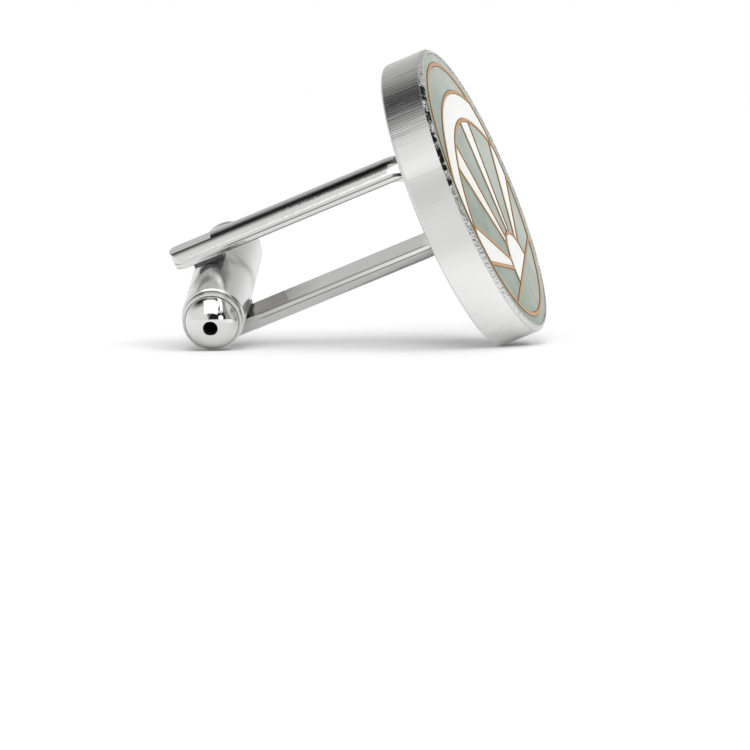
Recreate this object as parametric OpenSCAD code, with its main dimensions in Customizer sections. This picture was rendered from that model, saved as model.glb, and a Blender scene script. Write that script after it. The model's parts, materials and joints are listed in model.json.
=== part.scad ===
// Cufflink with a thick round head, a fork of two parallel posts and a barrel that swivels between them.
//
// Millimetres, +Z up. Every piece is drawn in the cufflink's own axes and then laid down:
// x runs from the pivot to the head, y along the barrel as it stands across the posts,
// z from the lower post to the upper one, and the pivot is the origin.
// Laid down, the cufflink stands on the edge of its head, on the end of the lower post and
// on one end of the barrel, and the middle of its floor plan is the origin.

/* [Head] */
// Diameter of the head
head_d = 19.2; // [18:0.1:21]
// Thickness of the head, over the front rim
head_t = 2.85; // [2.4:0.05:3.5]
// Rounding of the edge at the back
back_round = 0.2; // [0.1:0.05:0.6]
// Bevel of the edge at the front
face_bevel = 0.22; // [0.1:0.02:0.28]
// Width of the rim round the face, bevel included
rim_w = 0.35; // [0.3:0.01:0.6]
// How far the middle of the head lies below the middle of the fork
head_drop = 0.78; // [0:0.02:1.2]

/* [Face] */
// Thickness of the copper plate under the enamel
plate_t = 0.4; // [0.3:0.05:0.6]
// Height of the raised lines over the plate
line_h = 0.5; // [0.3:0.05:0.7]
// Width of a raised line
line_w = 0.28; // [0.24:0.02:0.44]
// Width of the raised ring round the picture
ring_w = 0.3; // [0.24:0.02:0.44]
// Width of the enamel between that ring and the rim
border_w = 0.58; // [0.4:0.02:0.9]
// How far the enamel lies below the tops of the lines
enamel_sink = 0.05; // [0.02:0.01:0.08]

/* [Fan] */
// All lengths of the fan are shares of the picture's radius, so it grows with the head.
// How far the middle of the fan lies below the middle of the face
fan_drop_share = 0.71; // [0.64:0.01:0.76]
// Radius of the half sun, to the middle of its line
sun_share = 0.31; // [0.24:0.01:0.38]
// Radius of the inner line of the band
band_share = 1.23; // [1.14:0.01:1.28]
// Width of the band, from line to line
band_w_share = 0.23; // [0.17:0.01:0.26]
// Number of wide rays; a narrow one stands between each two
wide_rays = 5; // [3:1:6]
// Angle of a narrow ray as a share of a wide one
narrow_share = 0.565; // [0.5:0.005:1]

/* [Fork] */
// Distance from the pivot to the back of the head
reach = 15.25; // [14.5:0.05:17]
// Gap between the flat inner faces of the posts
post_gap = 4.6; // [4.5:0.05:5]
// Width of a post
post_w = 2.65; // [2.5:0.05:2.9]
// Thickness of a post at its crown
post_t = 1.25; // [1.1:0.05:1.35]
// Height of the flat side of a post below its crown
side_land = 0.35; // [0.3:0.05:0.45]
// Length of a post behind the pivot
post_tail = 2.18; // [1.9:0.02:2.6]
// How much larger the radius of a post's end is than half the post's width, seen from above
tail_ease = 0.08; // [0.02:0.01:0.3]
// Depth of the flat on a post's crown over the pivot
flat_depth = 0.18; // [0.1:0.01:0.22]
// How far that flat runs past the pivot toward the head
flat_reach = 0.8; // [0.45:0.05:1]
// Inner radius of the corners where the posts turn toward each other
corner_r = 1.65; // [1.2:0.05:1.9]
// Thickness left between the posts where the fork is cut flat to sit on the head
web_t = 0.5; // [0.4:0.05:0.8]
// Thickness of the pad of solder between fork and head
pad_t = 0.12; // [0.08:0.02:0.2]
// How far that pad shows round the fork's seat
pad_edge = 0.3; // [0.2:0.05:0.5]

/* [Pivot] */
// Diameter of the pivot pin
pin_d = 0.7; // [0.6:0.02:0.8]
// Diameter of its spread ends
pin_head_d = 0.88; // [0.84:0.02:0.9]
// Depth of a spread end
pin_head_h = 0.2; // [0.1:0.02:0.3]
// Size of a friction plate along the post
washer_l = 2.0; // [1.8:0.05:2.4]
// Size of a friction plate across the post
washer_w = 2.5; // [2.2:0.05:2.5]
// How far the upper plate lies off the pivot, toward the head and toward the barrel's far end
upper_shift = [0.2, 0]; // [-0.5:0.05:0.5]
// The same for the lower plate
lower_shift = [-0.1, 0.4]; // [-0.5:0.05:0.5]

/* [Toggle] */
// Diameter of the barrel
toggle_d = 4.0; // [3.8:0.05:4.1]
// Distance from the pivot to where the barrel's lip starts to narrow
rim_z = 6.07; // [5.8:0.01:6.3]
// Distance from the pivot to the end of the lip
lip_z = 6.88; // [6.7:0.01:6.95]
// Diameter of the lip at its end
lip_d = 3.76; // [3.7:0.02:3.78]
// Diameter of the mouth inside the lip
mouth_d = 3.6; // [3.56:0.02:3.64]
// Diameter of the foot of the dome in that mouth
dome_d = 3.48; // [3.44:0.02:3.5]
// Rise of the dome over the end of the lip
dome_rise = 1.18; // [0.9:0.02:1.3]
// Diameter of the hole in the middle of the dome
tip_hole_d = 0.94; // [0.6:0.02:1.2]
// Depth of the groove between dome and lip
groove_depth = 0.28; // [0.15:0.01:0.32]
// Diameter of the plug that holds the dome
plug_d = 3.4; // [3.3:0.02:3.42]
// Length of that plug behind the groove
plug_h = 0.4; // [0.3:0.05:0.5]
// Diameter of the hollow behind the plug
cavity_d = 2.9; // [2.6:0.05:3.1]
// Distance from the pivot to the floor of that hollow
cavity_z = 2.2; // [1.6:0.1:3]

/* [Clearances] */
// Round the plate in the head's recess
plate_fit = 0.02; // [0.01:0.01:0.04]
// Round each field of enamel
enamel_fit = 0.01; // [0.01:0.01:0.03]
// Round the pin in the posts
pin_fit = 0.01; // [0.01:0.01:0.03]
// Round the pin in the barrel, where it turns
turning_fit = 0.03; // [0.02:0.01:0.08]
// Between the barrel and each friction plate
washer_gap = 0.02; // [0.02:0.01:0.05]
// Round the plug in the barrel
plug_fit = 0.01; // [0.01:0.01:0.03]

/* [Hidden] */
$fn = 96;

// How far a cut runs past the surface it opens
cut_over = 0.2;
// How far a raised part is rooted in what it stands on
root = 0.1;

head_r = head_d / 2;
recess_r = head_r - rim_w;
recess_depth = plate_t + line_h;
recess_z = head_t - recess_depth;
plate_r = recess_r - plate_fit;
ring_out_r = recess_r - border_w;
field_r = ring_out_r - ring_w;
enamel_h = line_h - enamel_sink;

fan_drop = field_r * fan_drop_share;
sun_r = field_r * sun_share;
band_r = field_r * band_share;
band_w = field_r * band_w_share;
ray_count = 2 * wide_rays - 1;
wide_angle = 180 / (wide_rays + (wide_rays - 1) * narrow_share);
narrow_angle = wide_angle * narrow_share;
// Angle at which ray i starts, counted from the right-hand horizon
function ray_start(i) = floor(i / 2) * (wide_angle + narrow_angle) + (i % 2) * wide_angle;

// Crown of a post: an arc through both edges of its sides, level with post_t in the middle
crown_rise = post_t - side_land;
tail_round = post_w / 2 + tail_ease;
crown_r = (pow(post_w / 2, 2) + pow(crown_rise, 2)) / (2 * crown_rise);
seat_x = reach - pad_t;
bend_x = seat_x - web_t - corner_r;
corner_z = post_gap / 2 - corner_r;
post_out_z = post_gap / 2 + post_t;
flat_z = post_out_z - flat_depth;
// Half the height of the seat, where the outside of the corners meets it
seat_z = corner_z + sqrt(pow(corner_r + post_t, 2) - pow(corner_r + web_t, 2));
pad_w = post_w + 2 * pad_edge;
pad_z = seat_z + pad_edge - pad_w / 2;

toggle_r = toggle_d / 2;
lip_r = lip_d / 2;
plug_z = lip_z - groove_depth - plug_h;
dome_r = dome_d / 2;
dome_ball_r = (pow(dome_r, 2) + pow(dome_rise, 2)) / (2 * dome_rise);
washer_t = post_gap / 2 - toggle_r - washer_gap;
bore_d = pin_d + 2 * turning_fit;

plating = "#C9CBCC";
plating_dark = "#A9ACAE";
copper = "#C98A4B";
sage = "#A0B0A2";
white = "#F5F6F2";

// Where the cufflink comes to rest
// Turned by tilt, the head comes up and the fork's end goes down; turned by lean, the near end
// of the barrel goes down. Each support's height is the dot product of its lowest point with up.
function up(tilt, lean) = [sin(tilt), cos(tilt) * sin(lean), cos(tilt) * cos(lean)];

// Low point of a circle round the barrel's axis, at distance y from the pivot
function ring_low(y, r, way) = -y * way.y - r * norm([way.x, way.z]);
function toggle_low(way) = min(ring_low(rim_z, toggle_r, way), ring_low(lip_z, lip_r, way));

// Low point of the rounded edge at the head's back
function head_low(way) =
    (reach + back_round) * way.x - head_drop * way.z
    - (head_r - back_round) * norm([way.y, way.z]) - back_round;

// Points along the outer edge of a post's end, for the post on side +1 or -1
tail_steps = 24;
function crown_z(y) = post_out_z - crown_r + sqrt(pow(crown_r, 2) - pow(y, 2));
function tail_x(y) = tail_round - post_tail - sqrt(pow(tail_round, 2) - pow(y, 2));
function tail_edge(side) = [
    for (k = [-tail_steps : tail_steps])
        let (y = post_w / 2 * k / tail_steps)
        [tail_x(y), y, side * min(flat_z, crown_z(y))]
];
function tail_low(way) = min([for (p = tail_edge(-1)) p * way]);

// Both angles follow from the three heights being equal; each try turns by what is still missing
function settled(tilt, lean, tries) =
    tries == 0 ? [tilt, lean] :
    let (
        way = up(tilt, lean),
        head_z = head_low(way),
        tail_z = tail_low(way),
        toggle_z = toggle_low(way)
    )
    settled(
        tilt + atan((tail_z - head_z) / (reach + post_tail)),
        lean + atan((toggle_z - tail_z) / lip_z),
        tries - 1
    );

settle_tries = 16;
rest = settled(0, 0, settle_tries);
tilt = rest[0];
lean = rest[1];
rest_up = up(tilt, lean);

// Directions that become x and y on the floor, and the middle of the floor plan along them
rest_x = [cos(tilt), -sin(tilt) * sin(lean), -sin(tilt) * cos(lean)];
front_x = (reach + head_t) * rest_x.x - head_drop * rest_x.z + (head_r - face_bevel) * sin(tilt);
back_x = min([for (p = tail_edge(1)) p * rest_x]);
middle_x = (front_x + back_x) / 2;
middle_y = head_drop * sin(lean);

// The node to draw, or all of them

// Placing
module laid_down() {
    translate([-middle_x, -middle_y, -head_low(rest_up)])
        rotate([lean, -tilt, 0])
            children();
}

// The head's own frame: x to the right and y up as one looks at the face, z from its back to its front
module on_head() {
    laid_down() translate([reach, 0, -head_drop]) rotate([90, 0, 90]) children();
}

// A cut or part that stands along the barrel's axis, its z toward the near end
module along_toggle() {
    laid_down() rotate([90, 0, 0]) children();
}

// Head
module head_profile() {
    difference() {
        union() {
            square([head_r - back_round, head_t]);
            translate([0, back_round]) square([head_r, head_t - back_round]);
            translate([head_r - back_round, back_round]) circle(back_round);
        }
        translate([head_r - face_bevel, head_t]) rotate(-45)
            square([2 * face_bevel, face_bevel]);
        translate([-cut_over, recess_z]) square([recess_r + cut_over, recess_depth + cut_over]);
    }
}

module head_case() {
    color(plating) on_head() rotate_extrude() head_profile();
}

// Face: raised lines, widened on both sides by grow
module above_horizon() {
    intersection() {
        children();
        translate([-head_r, -fan_drop]) square([head_d, head_d]);
    }
}

module arc_line(r, grow) {
    translate([0, -fan_drop]) difference() {
        circle(r + line_w / 2 + grow);
        circle(r - line_w / 2 - grow);
    }
}

module ray_line(angle, grow) {
    translate([0, -fan_drop]) rotate(angle) translate([sun_r, -line_w / 2 - grow])
        square([band_r - sun_r, line_w + 2 * grow]);
}

module fan_lines(grow) {
    translate([-head_r, -fan_drop - line_w / 2 - grow]) square([head_d, line_w + 2 * grow]);
    above_horizon() {
        arc_line(sun_r, grow);
    }
    above_horizon() {
        arc_line(band_r, grow);
    }
    above_horizon() {
        arc_line(band_r + band_w, grow);
    }
    for (i = [1 : ray_count - 1]) ray_line(ray_start(i), grow);
}

module medallion_plate() {
    color(copper) on_head() translate([0, 0, recess_z]) {
        cylinder(h = plate_t, r = plate_r);
        translate([0, 0, plate_t - root]) linear_extrude(line_h + root) {
            difference() {
                circle(ring_out_r);
                circle(field_r);
            }
            intersection() {
                circle(field_r + ring_w / 2);
                fan_lines(0);
            }
        }
    }
}

// Enamel
module enamel(tint) {
    color(tint) on_head() translate([0, 0, recess_z + plate_t]) linear_extrude(enamel_h) children();
}

// The part of the picture that its child covers, cut back from the ring and all lines
module field(tint) {
    enamel(tint) intersection() {
        difference() {
            circle(field_r - enamel_fit);
            fan_lines(enamel_fit);
        }
        children();
    }
}

module fan_disc(r) {
    translate([0, -fan_drop]) circle(r);
}

module enamel_border() {
    enamel(sage) difference() {
        circle(plate_r);
        circle(ring_out_r + enamel_fit);
    }
}

module enamel_base() {
    field(sage) translate([-head_r, -fan_drop - head_d]) square([head_d, head_d]);
}

module enamel_sun() {
    field(white) above_horizon() fan_disc(sun_r);
}

module enamel_ray(i) {
    from = ray_start(i - 1);
    to = ray_start(i);
    field(i % 2 == 1 ? sage : white) difference() {
        intersection() {
            fan_disc(band_r);
            translate([0, -fan_drop])
                polygon([[0, 0], head_d * [cos(from), sin(from)], head_d * [cos(to), sin(to)]]);
        }
        fan_disc(sun_r);
    }
}

module enamel_band() {
    field(white) above_horizon() difference() {
        fan_disc(band_r + band_w);
        fan_disc(band_r);
    }
}

module enamel_crown() {
    field(sage) above_horizon() difference() {
        translate([-head_r, -fan_drop]) square([head_d, head_d]);
        fan_disc(band_r + band_w);
    }
}

// Fork: the section of a post, its flat inner face on the x axis
module post_section() {
    intersection() {
        translate([-post_w / 2, 0]) square([post_w, post_t + cut_over]);
        translate([0, post_t - crown_r]) circle(crown_r);
    }
}

// Both posts from above: a round end and a straight run up to the bend
module post_plan() {
    translate([tail_round - post_tail, 0]) circle(tail_round);
    translate([tail_round - post_tail, -post_w])
        square([bend_x + post_tail - tail_round + cut_over, 2 * post_w]);
}

module post() {
    intersection() {
        translate([-post_tail - cut_over, 0, post_gap / 2]) rotate([90, 0, 90])
            linear_extrude(bend_x + post_tail + cut_over) post_section();
        linear_extrude(post_out_z + cut_over) post_plan();
    }
}

// A post's quarter turn toward the other one, and the bar that joins both turns
module corner() {
    translate([bend_x, 0, corner_z]) rotate([90, 0, 0]) rotate_extrude(angle = 90)
        translate([corner_r, 0]) rotate(-90) post_section();
}

module cross_bar() {
    translate([bend_x + corner_r, 0, -corner_z]) linear_extrude(2 * corner_z) rotate(-90) post_section();
}

module seat_cut() {
    translate([seat_x, -post_w, -post_out_z]) cube([post_t, 2 * post_w, 2 * post_out_z]);
}

// The pin with both spread ends, larger all round by grow
module pin_shape(grow) {
    translate([0, 0, -flat_z]) cylinder(h = 2 * flat_z, d = pin_d + 2 * grow);
    for (turn = [0, 180]) rotate([turn, 0, 0]) translate([0, 0, flat_z - pin_head_h])
        cylinder(h = pin_head_h, d1 = pin_d + 2 * grow, d2 = pin_head_d + 2 * grow);
}

module flat_cut() {
    translate([-post_tail - cut_over, -post_w, flat_z])
        cube([post_tail + flat_reach + cut_over, 2 * post_w, flat_depth + cut_over]);
}

module fork() {
    color(plating) laid_down() difference() {
        union() {
            post();
            mirror([0, 0, 1]) post();
            corner();
            mirror([0, 0, 1]) corner();
            cross_bar();
        }
        seat_cut();
        flat_cut();
        mirror([0, 0, 1]) flat_cut();
        pin_shape(pin_fit);
    }
}

// Thin pad of solder with round ends, between the fork's seat and the head's back
module solder_pad() {
    color(plating_dark) laid_down() translate([seat_x, 0, 0]) rotate([90, 0, 90]) linear_extrude(pad_t) {
        translate([-pad_w / 2, -pad_z]) square([pad_w, 2 * pad_z]);
        translate([0, pad_z]) circle(d = pad_w);
        translate([0, -pad_z]) circle(d = pad_w);
    }
}

// Pivot
module pivot_rivet() {
    color(plating_dark) laid_down() pin_shape(0);
}

module washer(side, shift) {
    color(plating_dark) laid_down() translate([0, 0, side * (post_gap - washer_t) / 2]) difference() {
        translate(shift) cube([washer_l, washer_w, washer_t], center = true);
        cylinder(h = 2 * washer_t, d = pin_d + 2 * pin_fit, center = true);
    }
}

module washer_upper() {
    washer(1, upper_shift);
}

module washer_lower() {
    washer(-1, lower_shift);
}

// Toggle: the barrel's section on its near half, from the rim to the floor of the hollow
half_barrel = [
    [toggle_r, rim_z],
    [lip_r, lip_z],
    [mouth_d / 2, lip_z],
    [mouth_d / 2, lip_z - groove_depth],
    [plug_d / 2 + plug_fit, lip_z - groove_depth],
    [plug_d / 2 + plug_fit, plug_z],
    [cavity_d / 2, plug_z],
    [cavity_d / 2, cavity_z],
    [0, cavity_z]
];

// Both halves, as one outline
module barrel_profile() {
    far_half = [for (i = [len(half_barrel) - 1 : -1 : 0]) [half_barrel[i].x, -half_barrel[i].y]];
    polygon(concat(half_barrel, far_half));
}

module toggle_body() {
    color(plating) difference() {
        along_toggle() rotate_extrude() barrel_profile();
        laid_down() translate([0, 0, -toggle_d]) cylinder(h = 2 * toggle_d, d = bore_d);
    }
}

module end_cap() {
    rotate_extrude() difference() {
        union() {
            translate([0, plug_z]) square([plug_d / 2, plug_h + root]);
            translate([0, lip_z - groove_depth]) square([dome_r, groove_depth]);
            intersection() {
                translate([0, lip_z + dome_rise - dome_ball_r]) circle(dome_ball_r);
                translate([0, lip_z]) square([toggle_r, dome_rise + cut_over]);
            }
        }
        translate([0, plug_z - cut_over]) square([tip_hole_d / 2, lip_z + dome_rise]);
    }
}

module end_cap_near() {
    color(plating) along_toggle() end_cap();
}

module end_cap_far() {
    color(plating) along_toggle() mirror([0, 0, 1]) end_cap();
}

head_case();
medallion_plate();
enamel_border();
enamel_base();
enamel_sun();
for (i = [1 : ray_count]) enamel_ray(i);
enamel_band();
enamel_crown();
fork();
solder_pad();
pivot_rivet();
washer_upper();
washer_lower();
toggle_body();
end_cap_near();
end_cap_far();
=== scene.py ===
import json
import math

import bmesh
import bpy
import numpy as np
from mathutils import Matrix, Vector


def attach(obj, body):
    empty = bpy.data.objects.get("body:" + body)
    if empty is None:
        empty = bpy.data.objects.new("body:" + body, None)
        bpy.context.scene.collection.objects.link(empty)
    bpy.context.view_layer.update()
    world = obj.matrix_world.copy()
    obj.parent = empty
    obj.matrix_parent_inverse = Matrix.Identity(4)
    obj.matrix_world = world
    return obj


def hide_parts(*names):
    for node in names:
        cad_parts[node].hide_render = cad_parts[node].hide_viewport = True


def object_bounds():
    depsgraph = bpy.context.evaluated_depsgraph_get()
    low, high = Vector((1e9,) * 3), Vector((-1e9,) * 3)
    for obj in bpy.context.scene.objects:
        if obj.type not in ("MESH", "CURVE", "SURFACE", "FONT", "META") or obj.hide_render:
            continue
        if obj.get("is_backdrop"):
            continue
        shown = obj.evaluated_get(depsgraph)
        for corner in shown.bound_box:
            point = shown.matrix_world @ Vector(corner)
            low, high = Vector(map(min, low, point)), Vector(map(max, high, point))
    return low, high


# %% [markdown]
# # A cufflink in cells
# The real object is a small piece of cast and plated metal with an enamelled face, two posts on its back
# and a barrel that turns on a pin between their ends. It is only 24 mm long, so every edge that the eye
# meets is a rounding of a few hundredths of a millimetre. Each piece here is a surface worked out from a
# formula, because such roundings need their own rows of points.
#
# ## The frame
# The frame holds the plain solids of the part, and says where they lie and what turns. Every piece made
# below rides on one of its two bodies: the fixed one, and the toggle.

# %% Load the frame
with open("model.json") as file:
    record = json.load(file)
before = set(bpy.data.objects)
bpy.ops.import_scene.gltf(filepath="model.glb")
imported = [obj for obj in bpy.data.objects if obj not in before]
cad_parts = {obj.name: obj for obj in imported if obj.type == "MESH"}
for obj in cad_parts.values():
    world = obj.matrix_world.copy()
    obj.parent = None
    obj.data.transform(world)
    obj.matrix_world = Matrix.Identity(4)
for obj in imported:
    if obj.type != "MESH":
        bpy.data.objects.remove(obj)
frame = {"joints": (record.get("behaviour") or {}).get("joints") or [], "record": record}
cad_low, cad_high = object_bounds()

# %% [markdown]
# ## The cufflink's own axes
# The cufflink lies tilted, so its pieces are easier to draw in axes of their own, in millimetres: x runs
# from the pivot to the head, y along the barrel, and z from the lower post to the upper one. The frame
# already knows two of them, the pin's direction and the way the face looks, and the third is square to
# both. That is safer than typing the angles a second time.

# %% Own axes
MM = 0.001
pin = frame["joints"][0]
face = frame["record"]["mounts"][0]
PIVOT = np.array(pin["pos_m"])
TO_HEAD = np.array(face["axis"])
TO_UPPER = np.array(pin["axis"])
AXES = np.stack([TO_HEAD, np.cross(TO_UPPER, TO_HEAD), TO_UPPER])


def lay_down(points):
    """Own millimetres to the frame's metres: the pivot, plus each coordinate along its own axis."""
    return PIVOT + np.asarray(points) @ AXES * MM


def into_scene(name, data):
    """A new object that carries the data, linked to the scene."""
    made = bpy.data.objects.new(name, data)
    bpy.context.scene.collection.objects.link(made)
    return made


print("head points to", AXES[0].round(3), "pin to", AXES[2].round(3))

# %% [markdown]
# ## The sizes
# These are the driving sizes of the solids, in millimetres. The pieces below are the same shapes with
# rounded edges, so they start from the same numbers.

# %% Sizes of the head and the picture
HEAD_R, HEAD_T, HEAD_DROP = 9.6, 2.85, 0.78
BACK_ROUND, FACE_BEVEL, RIM_W = 0.2, 0.22, 0.35
PLATE_T, LINE_H, LINE_W, RING_W, BORDER_W = 0.4, 0.5, 0.28, 0.3, 0.58
REACH = 15.25
RECESS_R = HEAD_R - RIM_W
RECESS_Z = HEAD_T - PLATE_T - LINE_H
PLATE_TOP = RECESS_Z + PLATE_T
ENAMEL_Z = HEAD_T - 0.05
RING_OUT_R = RECESS_R - BORDER_W
FIELD_R = RING_OUT_R - RING_W
FAN_DROP, SUN_R = 0.71 * FIELD_R, 0.31 * FIELD_R
BAND_R, BAND_W = 1.23 * FIELD_R, 0.23 * FIELD_R
WIDE_RAYS, NARROW_SHARE = 5, 0.565
RAYS = 2 * WIDE_RAYS - 1
WIDE = math.pi / (WIDE_RAYS + (WIDE_RAYS - 1) * NARROW_SHARE)
ray_edges = np.cumsum([0] + [WIDE if i % 2 == 0 else WIDE * NARROW_SHARE for i in range(RAYS)])
print("rays", RAYS, "edges in degrees", np.degrees(ray_edges).round(1))

# %% Sizes of the fork, the pin and the barrel
POST_GAP, POST_W, POST_T, SIDE_LAND = 4.6, 2.65, 1.25, 0.35
POST_TAIL, TAIL_ROUND = 2.18, POST_W / 2 + 0.08
FLAT_DEPTH, FLAT_REACH = 0.18, 0.8
CORNER_R, WEB_T, PAD_T, PAD_EDGE, POST_EDGE = 1.65, 0.5, 0.12, 0.3, 0.07
SEAT_X = REACH - PAD_T
BEND_X = SEAT_X - WEB_T - CORNER_R
CORNER_Z = POST_GAP / 2 - CORNER_R
CROWN_R = ((POST_W / 2) ** 2 + (POST_T - SIDE_LAND) ** 2) / (2 * (POST_T - SIDE_LAND))
PIN_D, PIN_HEAD_D, PIN_HEAD_H, PIN_PROUD = 0.7, 0.88, 0.2, 0.004
WASHER_L, WASHER_W, WASHER_T = 2.0, 2.5, 0.28
UPPER_SHIFT, LOWER_SHIFT = (0.2, 0.0), (-0.1, 0.4)
BARREL_R, RIM_Z, LIP_Z, LIP_R = 2.0, 6.07, 6.88, 1.88
MOUTH_R, DOME_RISE, HOLE_R = 1.8, 1.18, 0.47
GROOVE, PLUG_R, PLUG_H, CAVITY_R, CAVITY_Z = 0.28, 1.7, 0.4, 1.45, 2.2
NECK_Z, NECK_R, SEAM_DEPTH, SEAM_R = 6.4, 1.86, 0.13, 1.72
print("posts bend", round(BEND_X, 2), "mm from the pivot; crown radius", round(CROWN_R, 3), "mm")

# %% [markdown]
# ## The camera
# The camera stands where the photograph's did. It was fitted to the edges of posts, barrel and head in
# the cufflink's own axes, so it is written in them: which own direction is right, up and back in the
# picture, and where it stands. It is far away with a long lens, so the posts stay nearly parallel.

# %% Camera
SENSOR_MM, FOCAL_PX, FRAME_PX = 36.0, 6006, 750
RIGHT, UP, BACK = (0.90452, 0.07221, -0.42027), (0.36957, 0.35896, 0.85707), (0.21275, -0.93056, 0.298)
STANDS_AT = (88.203, -357.958, 105.171)
sight = bpy.data.cameras.new("camera")
sight.sensor_width, sight.lens = SENSOR_MM, SENSOR_MM * FOCAL_PX / FRAME_PX
sight.clip_start, sight.clip_end = 0.01, 20.0
camera = into_scene("camera", sight)
camera_frame = np.eye(4)
camera_frame[:3, :3] = (np.array([RIGHT, UP, BACK]) @ AXES).T
camera_frame[:3, 3] = lay_down(STANDS_AT)
camera.matrix_world = Matrix(camera_frame.tolist())
bpy.context.scene.camera = camera
bpy.context.scene.view_settings.view_transform = "Standard"
print("lens", round(sight.lens, 1), "mm")

# %% [markdown]
# ## Nodes and colours
# One small function adds a node with its settings and links, and one turns a written colour into the
# linear light that the shader works in.

# %% Nodes and colours


def linear(hex_colour):
    """An sRGB hex colour as linear RGBA: ((c + 0.055) / 1.055) ** 2.4, or c / 12.92 where it is dark."""
    c = np.array([int(hex_colour[i : i + 2], 16) / 255 for i in (1, 3, 5)])
    light = np.where(c <= 0.04045, c / 12.92, ((c + 0.055) / 1.055) ** 2.4)
    return (*light.tolist(), 1.0)


def node(tree, kind, inputs=(), out=0, **settings):
    """Adds one node and gives back one of its outputs. Inputs are values or links, in the order of the
    node's sockets or by name; None leaves a socket alone. Settings are the node's own properties."""
    made = tree.nodes.new("ShaderNode" + kind)
    for key, value in settings.items():
        setattr(made, key, value)
    for key, value in dict(inputs if isinstance(inputs, dict) else enumerate(inputs)).items():
        if isinstance(value, bpy.types.NodeSocket):
            tree.links.new(value, made.inputs[key])
        elif value is not None:
            made.inputs[key].default_value = value
    return made.outputs[out] if made.outputs else None


# SMOOTH eases a Map Range node in and out, 3t^2 - 2t^3. TINT makes a Mix node mix the colours on its
# sockets 6 and 7 by the share on its socket 0, and gives the colour back from output 2.
SMOOTH = {"interpolation_type": "SMOOTHSTEP"}
TINT = {"data_type": "RGBA", "out": 2}


def lumps(vector, size, detail=2.0, roughness=0.5):
    """Inputs of a noise whose lumps are about as wide as size, in the vector's own unit."""
    return {"Vector": vector, "Scale": 1 / size, "Detail": detail, "Roughness": roughness}


def times(tree, *factors):
    """The product of several links or numbers."""
    product = factors[0]
    for factor in factors[1:]:
        product = node(tree, "Math", (product, factor), operation="MULTIPLY")
    return product


def start_finish(name):
    """A new material with an empty tree: returns it, the tree, and each point's place in metres."""
    finish = bpy.data.materials.new(name)
    finish.use_nodes = True
    tree = finish.node_tree
    tree.nodes.clear()
    return finish, tree, node(tree, "TexCoord", out="Object")


# %% [markdown]
# ## The light
# The cufflink stood in a white tent. Its domed end mirrors nearly all of that tent, and its polished posts
# mirror strips of it, so the photograph tells how bright each direction was: pale in front and behind, paler
# toward the horizon, a dark opening overhead on the left, the bright square window of a soft box above the
# front, a narrow second one to its right, and the ragged dark gap below them through which the camera
# looked, with a round lamp in it. The world is written as those few places, each a smooth step over an
# angle. Soft suns in an arch from the front over the top to the back, and three more on the right, stand for
# the tent's own lamps. Metal doesn't mirror them; they lift card and enamel and give the card its shadow.

# %% World


def direction(azimuth, elevation):
    """Unit vector; azimuth 0 is the camera's side (-Y) and 90 is +X."""
    a, e = math.radians(azimuth), math.radians(elevation)
    return (math.sin(a) * math.cos(e), -math.cos(a) * math.cos(e), math.sin(e))


world = bpy.data.worlds.new("white_tent")
bpy.context.scene.world = world
world.use_nodes = True
sky = world.node_tree
sky.nodes.clear()
look = node(sky, "TexCoord", out="Generated")


def step_round(axis, inner, outer, inside, outside):
    """Inside within the inner angle of axis, outside beyond the outer one, smooth between; in degrees."""
    cosine = node(sky, "VectorMath", (look, axis), "Value", operation="DOT_PRODUCT")
    angle = node(sky, "Math", (cosine,), operation="ARCCOSINE")
    limits = (math.radians(inner), math.radians(outer))
    return node(sky, "MapRange", (angle, *limits, inside, outside), **SMOOTH)


def off_circle(way, level=0.0):
    """How far a direction lies, either side, from a level in degrees above the great circle square to way;
    in radians. A direction's height above that circle is the arcsine of its dot product with way."""
    along = node(sky, "VectorMath", (look, way), "Value", operation="DOT_PRODUCT")
    above = node(sky, "Math", (along,), operation="ARCSINE")
    off = node(sky, "Math", (above, math.radians(level)), operation="SUBTRACT")
    return node(sky, "Math", (off,), operation="ABSOLUTE")


def window_seen(azimuth, elevation, half_wide, half_high, soft, ragged=0.0):
    """1 inside a rectangle seen from the object, 0 outside. A direction's offsets sideways and upright are
    taken as shares of half the rectangle's angle; inside, the larger one is below 1. Noise over the
    direction makes ragged edges."""
    middle = np.array(direction(azimuth, elevation))
    sideways = np.array(direction(azimuth + 90, 0))
    shares = []
    for way, half_angle in ((sideways, half_wide), (np.cross(sideways, middle), half_high)):
        shares.append(times(sky, off_circle(way.tolist()), 1 / math.radians(half_angle)))
    widest = node(sky, "Math", shares, operation="MAXIMUM")
    if ragged:
        rag = node(sky, "TexNoise", {"Vector": look, "Scale": 13.0, "Detail": 3.0})
        widest = node(sky, "Math", (rag, ragged, widest), operation="MULTIPLY_ADD")
        widest = node(sky, "Math", (widest, ragged / 2), operation="SUBTRACT")
    inside = node(sky, "MapRange", (widest, 1 - soft, 1 + soft, 1.0, 0.0), **SMOOTH)
    return times(sky, inside, step_round(middle.tolist(), 80, 90, 1.0, 0.0))


def strip_seen(from_angle, to_angle):
    """1 in a strip along the great circle beside the window, between two angles above it toward its pole,
    and within 33 degrees of the strip's middle; 0 elsewhere."""
    pole, reach_middle, soft = (0.729, 0.624, -0.2845), direction(75, 60), 1.0
    middle, half_angle = (from_angle + to_angle) / 2, (to_angle - from_angle) / 2
    limits = (math.radians(half_angle - soft), math.radians(half_angle + soft))
    inside = node(sky, "MapRange", (off_circle(pole, middle), *limits, 1.0, 0.0), **SMOOTH)
    return times(sky, inside, step_round(reach_middle, 31, 36, 1.0, 0.0))


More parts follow.
